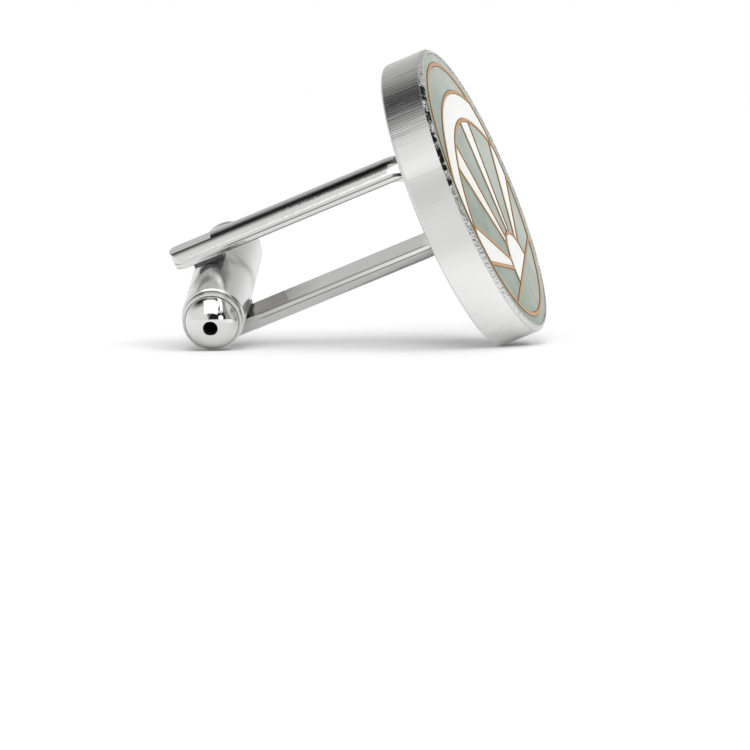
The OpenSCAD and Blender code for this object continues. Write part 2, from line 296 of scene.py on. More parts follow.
behind = step_round((0, 0, 1), 52, 95, 0.5, 0.93)
in_front = step_round((0, 1, 0), 55, 120, 0.0, 1.0)
tent = node(sky, "Mix", {0: in_front, 2: behind, 3: 0.78}, data_type="FLOAT")
opening = step_round(direction(-91, 56), 6, 38, 0.03, 1.0)
zenith = step_round((0, 0, 1), 5, 13, 0.6, 1.0)
right_side = step_round(direction(97, 25), 32, 48, 0.42, 1.0)
glow = times(sky, tent, opening, zenith, right_side)
PLACES = {
    "gap that the camera looks through": (window_seen(29, 12, 32, 13, 0.1, ragged=1.7), 0.015),
    "round lamp's surround": (step_round(direction(47, 3), 17, 21, 1.0, 0.0), 0.03),
    "dark bar between the windows": (strip_seen(-12, -4.5), 0.06),
    "narrow window": (strip_seen(-4.5, 5.5), 1.3),
    "square window": (window_seen(4, 53, 26, 28, 0.06), 1.4),
    "round lamp": (step_round(direction(45, 6), 8, 11, 1.0, 0.0), 1.3),
}
for where, strength in PLACES.values():
    glow = node(sky, "Mix", {0: where, 2: glow, 3: strength}, data_type="FLOAT")
tent_light = node(sky, "Background", {"Color": (1, 1, 1, 1), "Strength": glow})
white_ground = node(sky, "Background", {"Color": (1, 1, 1, 1), "Strength": 1.0})
is_camera = node(sky, "LightPath", out="Is Camera Ray")
seen = node(sky, "MixShader", (is_camera, tent_light, white_ground))
node(sky, "OutputWorld", {"Surface": seen})
print("world nodes", len(sky.nodes), "places", list(PLACES))

# %% Arch of suns
# Each sun stands at (azimuth, climb), and its share is how much it adds to level card, where 1 is white.
ARCH = {(12, 26): 0.09, (12, 45): 0.05, (12, 90): 0.05, (12, 120): 0.04, (12, 145): 0.03}
RIGHT_OF_ARCH = {(45, 38): 0.09, (75, 48): 0.08, (125, 48): 0.06}
suns = {**ARCH, **RIGHT_OF_ARCH}
for (azimuth, climb), share in suns.items():
    sun = bpy.data.lights.new(f"sun_{azimuth}_{climb}", "SUN")
    sun.energy = math.pi * share / math.sin(math.radians(climb))
    sun.angle = math.radians(18)
    made = into_scene(sun.name, sun)
    made.rotation_euler = (math.radians(90 - climb), 0, math.radians(azimuth))
    made.visible_glossy = False
print("suns light the floor with", round(sum(suns.values()), 2), "beside the tent's light")

# %% [markdown]
# ## The floor
# A sheet of pale card. Tent and suns together light it just to white where nothing stands in their way, so
# that only the shadow shows. The metal mirrors the same card a shade greyer, as it does in the photograph,
# and within about 12 mm under the head the card glows for mirrored rays: a painted pool of light.

# %% Floor
card, tree, place = start_finish("pale_card")
is_camera = node(tree, "LightPath", out="Is Camera Ray")
is_glossy = node(tree, "LightPath", out="Is Glossy Ray")
UNDER_HEAD = (9 * MM, -8 * MM, 0.0)
away = node(tree, "VectorMath", (place, UNDER_HEAD), "Value", operation="DISTANCE")
# Painted light: mirrored rays see the card glow, up to 0.25, within 3 to 12 mm of the point under the head.
painted_light_pool = node(tree, "MapRange", (away, 3 * MM, 12 * MM, 0.25, 0.0), **SMOOTH)
shades = {0: is_camera, 6: linear("#E2E2E2"), 7: linear("#F3F3F3")}
matt = node(tree, "BsdfDiffuse", {"Color": node(tree, "Mix", shades, **TINT)})
painted_glow = node(tree, "Emission", {"Color": (1, 1, 1, 1), "Strength": times(tree, is_glossy, painted_light_pool)})
node(tree, "OutputMaterial", {"Surface": node(tree, "AddShader", (matt, painted_glow))})
half = 2.0  # metres, so that its edge is never in view
sheet = bpy.data.meshes.new("floor")
corners = [(-half, -half, 0), (half, -half, 0), (half, half, 0), (-half, half, 0)]
sheet.from_pydata(corners, [], [(0, 1, 2, 3)])
sheet.materials.append(card)
floor = into_scene("floor", sheet)
floor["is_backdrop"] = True

# %% [markdown]
# ## From a grid of points to a piece
# Every surface below is a grid: rows one way, columns the other. The helper joins one or more grids into a
# mesh, gives each point a UV in millimetres along the surface, closes seams and poles by merging points
# that coincide, and turns all faces outward. A maker could also spin or sweep a curve with Blender's own
# tools, but those give no say over where the rows lie.

# %% Grid helpers


def lengths(points, axis):
    """Distance travelled along one way of a grid, from its first row or column."""
    gaps = np.linalg.norm(np.diff(points, axis=axis), axis=-1)
    start = np.zeros_like(np.take(gaps, [0], axis=axis))
    return np.cumsum(np.concatenate([start, gaps], axis=axis), axis=axis)


def grid_faces(rows, columns):
    """Four corners for each cell of a grid of rows by columns points."""
    corner = (np.arange(rows - 1)[:, None] * columns + np.arange(columns - 1)[None, :]).ravel()
    return np.stack([corner, corner + 1, corner + columns + 1, corner + columns], axis=1)


def piece(name, grids, body, finish, stands_for, inside=None, is_inside=None):
    """Joins grids of own-axes points into one closed mesh object that rides on a body. Faces whose middle
    is_inside says yes to get the second finish, inside."""
    points, faces, uvs, first = [], [], [], 0
    for grid in grids:
        rows, columns = grid.shape[:2]
        across = lengths(grid, 0).max(axis=1, keepdims=True).repeat(columns, axis=1)
        along = lengths(grid, 1).max(axis=0, keepdims=True).repeat(rows, axis=0)
        points.append(grid.reshape(-1, 3))
        uvs.append(np.stack([along, across], axis=-1).reshape(-1, 2))
        faces.append(grid_faces(rows, columns) + first)
        first += rows * columns
    faces = np.concatenate(faces)
    points = np.concatenate(points)
    mesh = bpy.data.meshes.new(name)
    mesh.from_pydata(lay_down(points).tolist(), [], faces.tolist())
    mesh.materials.append(finish)
    if inside:
        mesh.materials.append(inside)
        which = is_inside(points[faces].mean(axis=1)).astype(np.int32)
        mesh.polygons.foreach_set("material_index", which)
    mesh.uv_layers.new(name="mm").data.foreach_set("uv", np.concatenate(uvs)[faces.ravel()].ravel())
    shell = bmesh.new()
    shell.from_mesh(mesh)
    bmesh.ops.remove_doubles(shell, verts=shell.verts, dist=1e-7)
    bmesh.ops.recalc_face_normals(shell, faces=shell.faces)
    open_edges = sum(1 for edge in shell.edges if len(edge.link_faces) != 2)
    shell.to_mesh(mesh)
    shell.free()
    mesh.polygons.foreach_set("use_smooth", np.ones(len(mesh.polygons), bool))
    made = into_scene(name, mesh)
    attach(made, body)
    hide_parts(*stands_for)
    print(name, "faces", len(mesh.polygons), "open edges", open_edges)
    return made


def rounded(corners, radii, steps=5, guard=0.03):
    """A profile with its corners rounded: at each corner an arc of the given radius that touches both
    sides, with one more point a little beyond each end of the arc, so that the flats stay flat."""
    corners = np.asarray(corners, float)
    out = [corners[:1]]
    for before, corner, after, radius in zip(corners, corners[1:], corners[2:], radii):
        to_back = (before - corner) / np.linalg.norm(before - corner)
        to_front = (after - corner) / np.linalg.norm(after - corner)
        half_angle = math.acos(np.clip(to_back @ to_front, -1, 1)) / 2
        reach = radius / math.tan(half_angle)
        inward = (to_back + to_front) / np.linalg.norm(to_back + to_front)
        middle = corner + inward * radius / math.sin(half_angle)
        share = np.linspace(0, 1, steps + 1)[:, None]
        start, end = corner + to_back * reach - middle, corner + to_front * reach - middle
        turn = math.pi - 2 * half_angle
        arc = middle + (np.sin((1 - share) * turn) * start + np.sin(share * turn) * end) / math.sin(turn)
        supports = [corner + to_back * (reach + guard), corner + to_front * (reach + guard)]
        out += [supports[:1], arc, supports[1:]]
    return np.concatenate(out + [corners[-1:]])


def full_turn(steps):
    """Angles of one full turn, the last on the first."""
    return np.linspace(0, 2 * np.pi, steps + 1)


def lathe(profile, steps, right, up, front, middle=(0, 0, 0)):
    """Turns (radius, height) about an axis: middle + right r cos a + up r sin a + front h."""
    right, up, front = np.array([right, up, front], float)
    a = full_turn(steps)[None, :, None]
    r, h = profile[:, None, :1], profile[:, None, 1:]
    return middle + r * np.cos(a) * right + r * np.sin(a) * up + h * front


# The head is turned about its own middle, the barrel about its own axis with heights counted toward the
# near end, and the pin about its own axis.
HEAD = {"right": (0, 1, 0), "up": (0, 0, 1), "front": (1, 0, 0), "middle": (REACH, 0, -HEAD_DROP)}
BARREL = {"right": (1, 0, 0), "up": (0, 0, 1), "front": (0, -1, 0)}
PIN = {"right": (1, 0, 0), "up": (0, 1, 0), "front": (0, 0, 1)}

# %% [markdown]
# ## Plated metal
# The castings are zinc alloy, polished and then plated with bright nickel. Plating is a mirror with a
# faint warm grey colour; the eye reads it by the small unevenness of the polished casting under it, a
# waviness about a millimetre long, and by fine scratches. Both are bumps of a few thousandths of a
# millimetre. Metal keeps the shader's default IOR, and its colour is what it throws back.

# %% Finish helpers


def end_finish(finish, inputs):
    """Ends a finish with a Principled shader whose sockets get these values or links, and gives it back."""
    tree = finish.node_tree
    node(tree, "OutputMaterial", {"Surface": node(tree, "BsdfPrincipled", inputs)})
    print("finish", finish.name, "nodes", len(tree.nodes))
    return finish


def relief(tree, *layers):
    """The normal bent by layers of relief, each a height from 0 to 1 with its depth in millimetres."""
    normal = None
    for height, depth_mm in layers:
        inputs = {"Height": height, "Distance": depth_mm * MM, "Strength": 1.0, "Normal": normal}
        normal = node(tree, "Bump", inputs)
    return normal


def from_pivot(tree, place, way, either_side=False):
    """How far a place lies from the pivot along one of the own axes, in metres, negative behind it."""
    along = node(tree, "VectorMath", (place, way.tolist()), "Value", operation="DOT_PRODUCT")
    along = node(tree, "Math", (along, float(PIVOT @ way)), operation="SUBTRACT")
    return node(tree, "Math", (along,), operation="ABSOLUTE") if either_side else along


# %% [markdown]
# Nothing stays evenly bright. Shade is painted on posts and barrel: dark grey close to the friction plates,
# where the parts crowd together, fine dark lines along the posts' edges and a band round the barrel's necks,
# where they mirror the dark, and a spot on the barrel's top that stands for the dark it mirrors. Each mask
# below is 1 where nothing is painted and falls off smoothly with a distance. Painting it by hand would do as
# well, but not hold when a size changes.

# %% Painted shade of fork and barrel, and pits of the posts


def shade_round(tree, place, middle, from_mm, to_mm, dark):
    """The value dark within one distance of a point, 1 beyond another, with an uneven edge."""
    smear = node(tree, "TexNoise", lumps(place, 1.2 * MM, 3.0))
    away = node(tree, "VectorMath", (place, middle.tolist()), "Value", operation="DISTANCE")
    blot = node(tree, "Math", (smear, 1.5 * MM, away), operation="MULTIPLY_ADD")
    return node(tree, "MapRange", (blot, from_mm * MM, to_mm * MM, dark, 1.0), **SMOOTH)


def edge_line(tree, height, level, width, dark):
    """The value dark in a line of a width round one height, 1 elsewhere; in millimetres."""
    off = node(tree, "Math", (height, level * MM), operation="SUBTRACT")
    off = node(tree, "Math", (off,), operation="ABSOLUTE")
    return node(tree, "MapRange", (off, 0.3 * width * MM, width * MM, dark, 1.0), **SMOOTH)


def fork_shade_and_pits(tree, place):
    """0 on the inner faces close to the friction plates, painted shade where the parts crowd together, up to
    1 some 7 mm away. Low in two fine lines on each post's edges, painted shade where the edges mirror the
    dark, and in pits along the posts' shoulders, which grow toward the head, where the polishing wheel
    reached least."""
    inner = POST_GAP / 2
    height = from_pivot(tree, place, TO_UPPER, either_side=True)
    along = from_pivot(tree, place, TO_HEAD, either_side=True)
    # Painted shade: dark on the inner faces near the friction plates.
    shade_by_plates = shade_round(tree, place, PIVOT, 3.0, 7.5, 0.0)
    off_inner_face = node(tree, "MapRange", (height, inner * MM, (inner + 0.04) * MM, 0.0, 1.0), **SMOOTH)
    unshaded = node(tree, "Math", (shade_by_plates, off_inner_face), operation="MAXIMUM")
    # Painted shade: two dark lines along each post's edges.
    outer_line = edge_line(tree, height, inner + SIDE_LAND + 0.01, 0.06, 0.2)
    inner_line = edge_line(tree, height, inner + 0.06, 0.05, 0.15)
    forged = node(tree, "MapRange", (along, 1.2 * MM, 2.2 * MM, 1.0, 0.0), **SMOOTH)
    lines = node(tree, "Math", (times(tree, outer_line, inner_line), forged), operation="MAXIMUM")
    shoulder = edge_line(tree, height, inner + 1.02, 0.24, 0.0)
    missed = node(tree, "Math", (1.0, shoulder), operation="SUBTRACT")
    toward_head = node(tree, "MapRange", (along, 3 * MM, 12 * MM, 0.35, 1.0), **SMOOTH)
    grain = node(tree, "TexNoise", lumps(place, 0.14 * MM))
    pits = node(tree, "Math", (grain, 1.3, times(tree, missed, toward_head)), operation="MULTIPLY_ADD")
    pitted = node(tree, "MapRange", (pits, 1.1, 1.5, 1.0, 0.3), **SMOOTH)
    return times(tree, unshaded, lines, pitted)


def barrel_painted_shade(tree, place):
    """Painted shade: low close to the friction plates, in a spot between plate and lip where the barrel's top
    mirrors the dark under the upper post, and in the neck behind each lip, whose taper mirrors the dark."""
    # Painted shade on the barrel: near the plates, a spot on its top, and a band round each neck.
    dark_spot_at = PIVOT + (0.3 * AXES[0] - 3.4 * AXES[1] + 1.9 * AXES[2]) * MM
    shade_by_plates = shade_round(tree, place, PIVOT, 2.0, 3.3, 0.2)
    painted_dark_reflection = shade_round(tree, place, dark_spot_at, 1.2, 2.4, 0.42)
    height = from_pivot(tree, place, AXES[1], either_side=True)
    return times(tree, shade_by_plates, painted_dark_reflection, edge_line(tree, height, NECK_Z, 0.26, 0.3))


# %% Polished plating


def polished_plating(name, colour, rough, wave_mm, wave_depth, scratch_depth, turned=False, darkening_of=None):
    """Bright plating over a polished casting: long waves, short ripples, fine scratches, and roughness that
    varies. Turned metal has rings in place of scratches. Where the mask that is passed in gives less than 1,
    the colour turns toward dark grey: painted shade, and on the fork dark pits as well."""
    finish, tree, place = start_finish(name)
    wave = node(tree, "TexNoise", lumps(place, wave_mm * MM, 3.0))
    ripple = node(tree, "TexNoise", lumps(place, 0.25 * MM))
    smear = node(tree, "TexNoise", lumps(place, 1.7 * MM, 3.0))
    if turned:
        lay, width = {"Vector": node(tree, "UVMap", uv_map="mm"), "Scale": (0.03, 1.0, 1.0)}, 0.12
    else:
        lay, width = {"Vector": place, "Rotation": (0.4, 1.0, 0.2), "Scale": (1.0, 1.0, 0.08)}, 0.1 * MM
    scratch = node(tree, "TexNoise", lumps(node(tree, "Mapping", lay), width, 1.0))
    tone = linear(colour)
    # Painted shade: toward dark grey where the mask is low.
    if darkening_of:
        dark_blend = {0: darkening_of(tree, place), 6: linear("#6E6C69"), 7: tone}
        tone = node(tree, "Mix", dark_blend, **TINT)
    layers = (ripple, wave_depth * 0.2), (wave, wave_depth), (scratch, scratch_depth)
    shine = node(tree, "MapRange", (smear, 0.3, 0.7, rough * 0.8, rough * 1.25), **SMOOTH)
    inputs = {"Base Color": tone, "Metallic": 1.0, "Roughness": shine, "Normal": relief(tree, *layers)}
    return end_finish(finish, inputs)


cast_plating = polished_plating(
    "bright_nickel_on_casting", "#EAEAE9", 0.1, 0.9, 0.008, 0.0012, darkening_of=fork_shade_and_pits
)
barrel_plating = polished_plating(
    "bright_nickel_on_tube", "#EAEAE9", 0.17, 1.4, 0.005, 0.002, turned=True, darkening_of=barrel_painted_shade
)
dome_plating = polished_plating("bright_nickel_on_dome", "#EEEEED", 0.05, 1.2, 0.003, 0.0004)
pin_plating = polished_plating("bright_nickel_on_pin", "#EAEAE9", 0.12, 0.9, 0.004, 0.0012)

# %% [markdown]
# The wall of the head was ground before it was plated, with strokes from its back to its front, and the
# plating keeps those strokes. They are streaks a sixth of a millimetre wide that run along the wall's
# thickness, so the pattern reads the piece's UV: stretched along v, narrow along u. The bevel at the front
# was tumbled, which leaves it pitted, and each pit sends the light elsewhere. On the bevel's upper near
# side its colour is near black in a ragged line.

# %% Ground strokes and bevel pits
ground_plating, tree, place = start_finish("bright_nickel_on_ground_wall")
uv = node(tree, "UVMap", uv_map="mm")
along_wall = node(tree, "Mapping", {"Vector": uv, "Scale": (1.0, 0.03, 1.0)})
fine = node(tree, "TexNoise", lumps(along_wall, 0.17, 1.0, 0.6))
broad = node(tree, "TexNoise", lumps(along_wall, 0.7, 1.0))
patches = node(tree, "TexNoise", lumps(place, 3.5 * MM))
height = from_pivot(tree, place, TO_UPPER)
off_middle = from_pivot(tree, place, TO_UPPER, either_side=True)
toward_ends = node(tree, "MapRange", (off_middle, 4.5 * MM, 8 * MM, 0.0, 0.9), **SMOOTH)
worked = node(tree, "MapRange", (patches, 0.25, 0.75, 0.1, 0.3), **SMOOTH)
worked = node(tree, "Math", (worked, toward_ends), operation="ADD")
strokes = times(tree, node(tree, "Math", (fine, 0.5), operation="SUBTRACT"), worked)
across = node(tree, "SeparateXYZ", (uv,), "Y")
bevel_start = HEAD_R + HEAD_T - BACK_ROUND * (2 - math.pi / 2) - FACE_BEVEL - 0.04
on_bevel = node(tree, "MapRange", (across, bevel_start, bevel_start + 0.04, 0.0, 1.0), **SMOOTH)
pits = node(tree, "TexNoise", lumps(place, 0.2 * MM, 1.0))
normal = relief(tree, (broad, 0.012), (strokes, 0.022), (times(tree, pits, on_bevel), 0.12))
print("bevel starts", round(bevel_start, 2), "mm along the profile from the middle of the back")

# %% Ground plating of the head
to_far_end = from_pivot(tree, place, AXES[1])
near_side = node(tree, "MapRange", (to_far_end, -3.5 * MM, -0.5 * MM, 1.0, 0.0), **SMOOTH)
upper_side = node(tree, "MapRange", (height, -0.5 * MM, 3.5 * MM, 0.0, 1.0), **SMOOTH)
speck = node(tree, "TexNoise", lumps(place, 0.6 * MM, 3.0, 0.6))
# Near black in a ragged line on the bevel's upper near side.
dark_bevel_line = (speck, 2.2, times(tree, near_side, upper_side))
dark_bevel_line = node(tree, "Math", dark_bevel_line, operation="MULTIPLY_ADD")
dark_bevel_line = node(tree, "MapRange", (dark_bevel_line, 1.95, 2.15, 0.0, 1.0), **SMOOTH)
grey = node(tree, "MapRange", (fine, 0.5, 0.72, 0.0, 0.28), **SMOOTH)
plated = {0: times(tree, grey, toward_ends), 6: linear("#E6E6E5"), 7: linear("#6E6D6B")}
plated = node(tree, "Mix", plated, **TINT)
tones = {0: times(tree, dark_bevel_line, on_bevel), 6: plated, 7: linear("#2B2A28")}
wall_finish = {
    "Base Color": node(tree, "Mix", tones, **TINT),
    "Metallic": 1.0,
    "Roughness": node(tree, "MapRange", (patches, 0.3, 0.7, 0.2, 0.26), **SMOOTH),
    "Normal": normal,
}
end_finish(ground_plating, wall_finish)

# %% [markdown]
# ## The head
# A thick round casting. Its profile is drawn once, from the middle of the back to the middle of the
# recess in front, and turned about the axis. All corners are rounded: the back by a fifth of a millimetre,
# the others by a few hundredths, which is what plating does to a sharp edge.

# %% Head
head_corners = [
    (0.0, 0.0),
    (HEAD_R, 0.0),
    (HEAD_R, HEAD_T - FACE_BEVEL),
    (HEAD_R - FACE_BEVEL, HEAD_T),
    (RECESS_R, HEAD_T),
    (RECESS_R, RECESS_Z),
    (0.0, RECESS_Z),
]
head_profile = rounded(head_corners, [BACK_ROUND, 0.06, 0.05, 0.03, 0.03])
shell = lathe(head_profile, 384, **HEAD)
piece("head_shell", [shell], "fixed", ground_plating, ["head_case"])

# %% [markdown]
# ## The copper plate and its lines
# The picture is struck in a thin copper-plated disc: a ring, the horizon, three arcs and the rays between
# them stand up as lines, and enamel fills the cells between. A struck line has a flat top with worn,
# rounded shoulders. Each line is that section carried along its path. The lines may run into each other
# where they meet, as they do on the struck plate.

# %% Copper finish
# Copper that was plated and then rubbed: warm and satin on the worn tops. Dark brown down their walls is
# painted shade.
copper, tree, place = start_finish("copper_plating_on_struck_lines")
tarnish = node(tree, "TexNoise", lumps(place, 0.8 * MM, 4.0))
grain = node(tree, "TexNoise", lumps(place, 0.05 * MM))
front = from_pivot(tree, place, TO_HEAD)
face_at = REACH + HEAD_T
unshaded_top = (front, (face_at - 0.04) * MM, (face_at - 0.012) * MM, 0.0, 1.0)
unshaded_top = node(tree, "MapRange", unshaded_top, **SMOOTH)
worn = {0: tarnish, 6: linear("#C98D45"), 7: linear("#EDB870")}
worn = node(tree, "Mix", worn, **TINT)
# Painted shade: dark brown on the lines' walls, below their tops.
tones = {0: unshaded_top, 6: linear("#43290F"), 7: worn}
copper_finish = {
    "Base Color": node(tree, "Mix", tones, **TINT),
    "Metallic": 1.0,
    "Roughness": node(tree, "MapRange", (tarnish, 0.3, 0.7, 0.29, 0.38), **SMOOTH),
    "Normal": relief(tree, (grain, 0.0008)),
}
end_finish(copper, copper_finish)

# %% Copper lines


def on_face(right, up, front):
    """Face coordinates to own axes: front counts from the back of the head."""
    return np.stack(np.broadcast_arrays(REACH + front, right, up - HEAD_DROP), axis=-1)


def line_section(width):
    """(side, height) round a line: straight sides, shoulders of 0.08 mm, a top that rises 0.01 mm."""
    half, shoulder = width / 2, 0.08
    turn = np.linspace(0, np.pi / 2, 6)
    side = half - shoulder + shoulder * np.cos(turn)
    height = HEAD_T - 0.01 - shoulder + shoulder * np.sin(turn)
    right_half = np.column_stack([np.append(side, 0.0), np.append(height, HEAD_T)])
    foot = [(half, PLATE_TOP - 0.05)]
    left_half = right_half[-2::-1] * (-1, 1)
    return np.concatenate([foot, right_half, left_half, [(-half, PLATE_TOP - 0.05)], foot])


def capped(grid):
    """Closes both ends of a carried section by shrinking it to its middle point."""
    start, end = (ring.mean(axis=1, keepdims=True) + 0 * ring for ring in (grid[:1], grid[-1:]))
    return np.concatenate([start, grid, end])


def straight_line(start, end, width=LINE_W, count=24):
    """The section carried from one point of the face to another."""
    start, end = np.asarray(start, float), np.asarray(end, float)
    way = (end - start) / np.linalg.norm(end - start)
    middle = start + (end - start) * np.linspace(0, 1, count)[:, None]
    side, height = line_section(width).T
    right = middle[:, :1] - way[1] * side
    up = middle[:, 1:] + way[0] * side
    return capped(on_face(right, up, height[None, :] + 0 * right))


def arc_line(middle_up, radius, start, end, width=LINE_W, count=160, closed=False):
    """The section carried round a circle whose middle lies middle_up above the face's."""
    a = np.linspace(start, end, count)[:, None]
    side, height = line_section(width).T
    r = radius + side[None, :]
    grid = on_face(r * np.cos(a), middle_up + r * np.sin(a), height[None, :] + 0 * a)
    return grid if closed else capped(grid)


def to_field_edge(angle):
    """Distance from the fan's middle to the picture's edge: d sin a + sqrt(R^2 - d^2 cos^2 a)."""
    return FAN_DROP * np.sin(angle) + np.sqrt(FIELD_R**2 - (FAN_DROP * np.cos(angle)) ** 2)


def arc_start(radius):
    """Angle at which a circle about the fan's middle meets the picture's edge."""
    sine = (FAN_DROP**2 + radius**2 - FIELD_R**2) / (2 * FAN_DROP * radius)
    return math.asin(np.clip(sine, 0.0, 1.0))


OVERLAP = RING_W / 2
horizon_end = math.sqrt((FIELD_R + OVERLAP) ** 2 - FAN_DROP**2)
lines = [
    arc_line(0.0, FIELD_R + RING_W / 2, 0, 2 * np.pi, RING_W, 320, closed=True),
    straight_line((-horizon_end, -FAN_DROP), (horizon_end, -FAN_DROP), count=60),
    arc_line(-FAN_DROP, SUN_R, 0, np.pi, count=96),
]
for radius in (BAND_R, BAND_R + BAND_W):
    first = arc_start(radius) - OVERLAP / radius
    lines.append(arc_line(-FAN_DROP, radius, first, np.pi - first))
for angle in ray_edges[1:-1]:
    way = np.array([math.cos(angle), math.sin(angle)])
    far = min(BAND_R, float(to_field_edge(angle)) + OVERLAP)
    lines.append(straight_line(way * SUN_R - (0, FAN_DROP), way * far - (0, FAN_DROP), count=40))
plate_corners = [(0, RECESS_Z), (RECESS_R - 0.02, RECESS_Z), (RECESS_R - 0.02, PLATE_TOP), (0, PLATE_TOP)]
plate = lathe(rounded(plate_corners, [0.03, 0.03]), 192, **HEAD)
piece("struck_plate", [plate] + lines, "fixed", copper, ["medallion_plate"])

# %% [markdown]
# ## The enamel
# Each cell is filled with coloured enamel paste and fired. The enamel clings to the copper lines and sinks
# a few hundredths of a millimetre in the middle of a cell, so its gloss is never quite flat. One formula
# gives that height everywhere: it falls with the distance to the nearest copper edge. A cell itself is a
# grid stretched between two curves, with a wall and a bottom that close it.

# %% Enamel finish


def fired_enamel(name, colour, shaded_colour):
    """Glossy fired enamel: its colour is a little uneven, under a clear skin with long, shallow waves.
    Painted shade makes it darker on the near side of the face, growing lighter toward the far side."""
    finish, tree, place = start_finish(name)
    cloud = node(tree, "TexNoise", lumps(place, 1.8 * MM, 3.0))
    skin = node(tree, "TexNoise", lumps(place, 0.9 * MM, 1.0))
    # Painted shade: darker on the near side of the face, lighter toward the far side, with uneven cloud.
    across = from_pivot(tree, place, AXES[1])
    depth = node(tree, "MapRange", (across, -HEAD_R * MM, HEAD_R * MM, 0.8, -0.1), **SMOOTH)
    depth = node(tree, "Math", (cloud, 0.5, depth), operation="MULTIPLY_ADD")
    depth = node(tree, "MapRange", (depth, 0.1, 1.1, 0.0, 1.0), **SMOOTH)
    tones = {0: depth, 6: linear(colour), 7: linear(shaded_colour)}
    inputs = {
        "Base Color": node(tree, "Mix", tones, **TINT),
        "Roughness": node(tree, "MapRange", (cloud, 0.3, 0.7, 0.29, 0.36), **SMOOTH),
        "IOR": 1.5,
        "Normal": relief(tree, (skin, 0.0015)),
    }
    return end_finish(finish, inputs)


sage = fired_enamel("sage_green_fired_enamel", "#B0B9AE", "#7A8A79")
white = fired_enamel("white_fired_enamel", "#F8F9F5", "#F1F2ED")

# %% Enamel cells
# FIT is the gap between enamel and copper in millimetres, TIP keeps a cell's tips clear in radians.
FIT, TIP = 0.01, 0.002


def edge_distance(right, up):
    """Distance from a point of the picture to the nearest copper edge, in millimetres."""
    from_fan = np.hypot(right, up + FAN_DROP)
    above = up > -FAN_DROP
    near = np.minimum(FIELD_R - np.hypot(right, up), np.abs(up + FAN_DROP) - LINE_W / 2)
    for radius in (SUN_R, BAND_R, BAND_R + BAND_W):
        near = np.where(above, np.minimum(near, np.abs(from_fan - radius) - LINE_W / 2), near)
    in_rays = above & (from_fan > SUN_R) & (from_fan < BAND_R)
    for angle in ray_edges[1:-1]:
        off = np.abs(math.cos(angle) * (up + FAN_DROP) - math.sin(angle) * right) - LINE_W / 2
        near = np.where(in_rays, np.minimum(near, off), near)
    return np.clip(near, 0, None)


def enamel_height(distance):
    """The enamel's surface: it sinks by 0.04 mm within the first 0.3 mm from a line."""
    return ENAMEL_Z - 0.04 * (1 - np.exp(-((distance / 0.3) ** 1.5)))


def eased(count):
    """From 0 to 1 with more points near both ends: (1 - cos) / 2."""
    return (1 - np.cos(np.linspace(0, np.pi, count))) / 2


def cell(low, high, rows=25, distance=edge_distance):
    """A closed slab between two curves of the face, each (n, 2): its top follows enamel_height."""
    share = eased(rows)[:, None, None]
    flat = low + (high - low) * share
    right, up = flat[..., 0], flat[..., 1]
    top = on_face(right, up, enamel_height(distance(right, up)))
    bottom = on_face(right, up, PLATE_TOP)
    walls = [np.stack([top[0], bottom[0]]), np.stack([top[-1], bottom[-1]])]
    walls += [np.stack([top[:, 0], bottom[:, 0]]), np.stack([top[:, -1], bottom[:, -1]])]
    return [top, bottom] + walls


def level(up, reach_right, count=97):
    """Points of a level line, from left to right, closer at its ends."""
    right = -reach_right * np.cos(np.linspace(0, np.pi, count))
    return np.stack([right, np.full(count, up)], axis=1)


def polar(radius, angle):
    """Points at a distance and angle from the fan's middle."""
    return np.stack([radius * np.cos(angle), radius * np.sin(angle) - FAN_DROP], axis=-1)


def ring_cell(radius, limit, count):
    """A cell from a circle about the fan's middle out to a limit or the picture's edge, which comes first."""
    start = arc_start(radius) + TIP
    angle = np.pi - start - (np.pi - 2 * start) * eased(count)
    outer = np.minimum(limit, to_field_edge(angle) - 2 * FIT)
    return polar(np.full(count, radius), angle), polar(outer, angle)


cells = {}
edge = LINE_W / 2 + FIT
field = FIELD_R - FIT
under = -FAN_DROP - edge
chord = math.sqrt(field**2 - under**2)
low_line = level(under, chord)
cells["base"] = (np.stack([low_line[:, 0], -np.sqrt(field**2 - low_line[:, 0] ** 2)], axis=1), low_line)
sun_in = SUN_R - edge
sun_line = level(edge - FAN_DROP, math.sqrt(sun_in**2 - edge**2))
sun_top = np.sqrt(sun_in**2 - sun_line[:, 0] ** 2) - FAN_DROP
cells["sun"] = (sun_line, np.stack([sun_line[:, 0], sun_top], axis=1))
# A ray's sides keep one distance from their lines, so its angles depend on the radius, and where it meets the
# picture's edge its radius depends on the angle. A few passes settle both.
COLUMNS, PASSES = 49, 12
for i in range(RAYS):
    share = eased(COLUMNS)
    bounds = []
    for radius in (np.full(COLUMNS, SUN_R + edge), np.full(COLUMNS, BAND_R - edge)):
        for _ in range(PASSES):
            first = ray_edges[i] + np.arcsin(edge / radius)
            last = ray_edges[i + 1] - np.arcsin(edge / radius)
            angle = first + (last - first) * share
            radius = np.minimum(radius, to_field_edge(angle) - 2 * FIT)
        bounds.append(polar(radius, angle))
    cells[f"ray_{i + 1}"] = tuple(bounds)
cells["band"] = ring_cell(BAND_R + edge, BAND_R + BAND_W - edge, 193)
cells["crown"] = ring_cell(BAND_R + BAND_W + edge, np.inf, 129)
white_cells = ["sun", "band"] + [f"ray_{i}" for i in range(2, RAYS + 1, 2)]
for name, (low, high) in cells.items():
    is_white = name in white_cells
    finish, slot = (white, "white_enamel") if is_white else (sage, "sage_enamel")
    piece("cell_" + name, cell(low, high), "fixed", finish, ["enamel_" + name])

# %% Enamel border


def border_distance(right, up):
    """Distance to the nearer edge of the border: the copper ring inside, the plated rim outside."""
    r = np.hypot(right, up)
    return np.clip(np.minimum(r - RING_OUT_R, RECESS_R - r), 0, None)


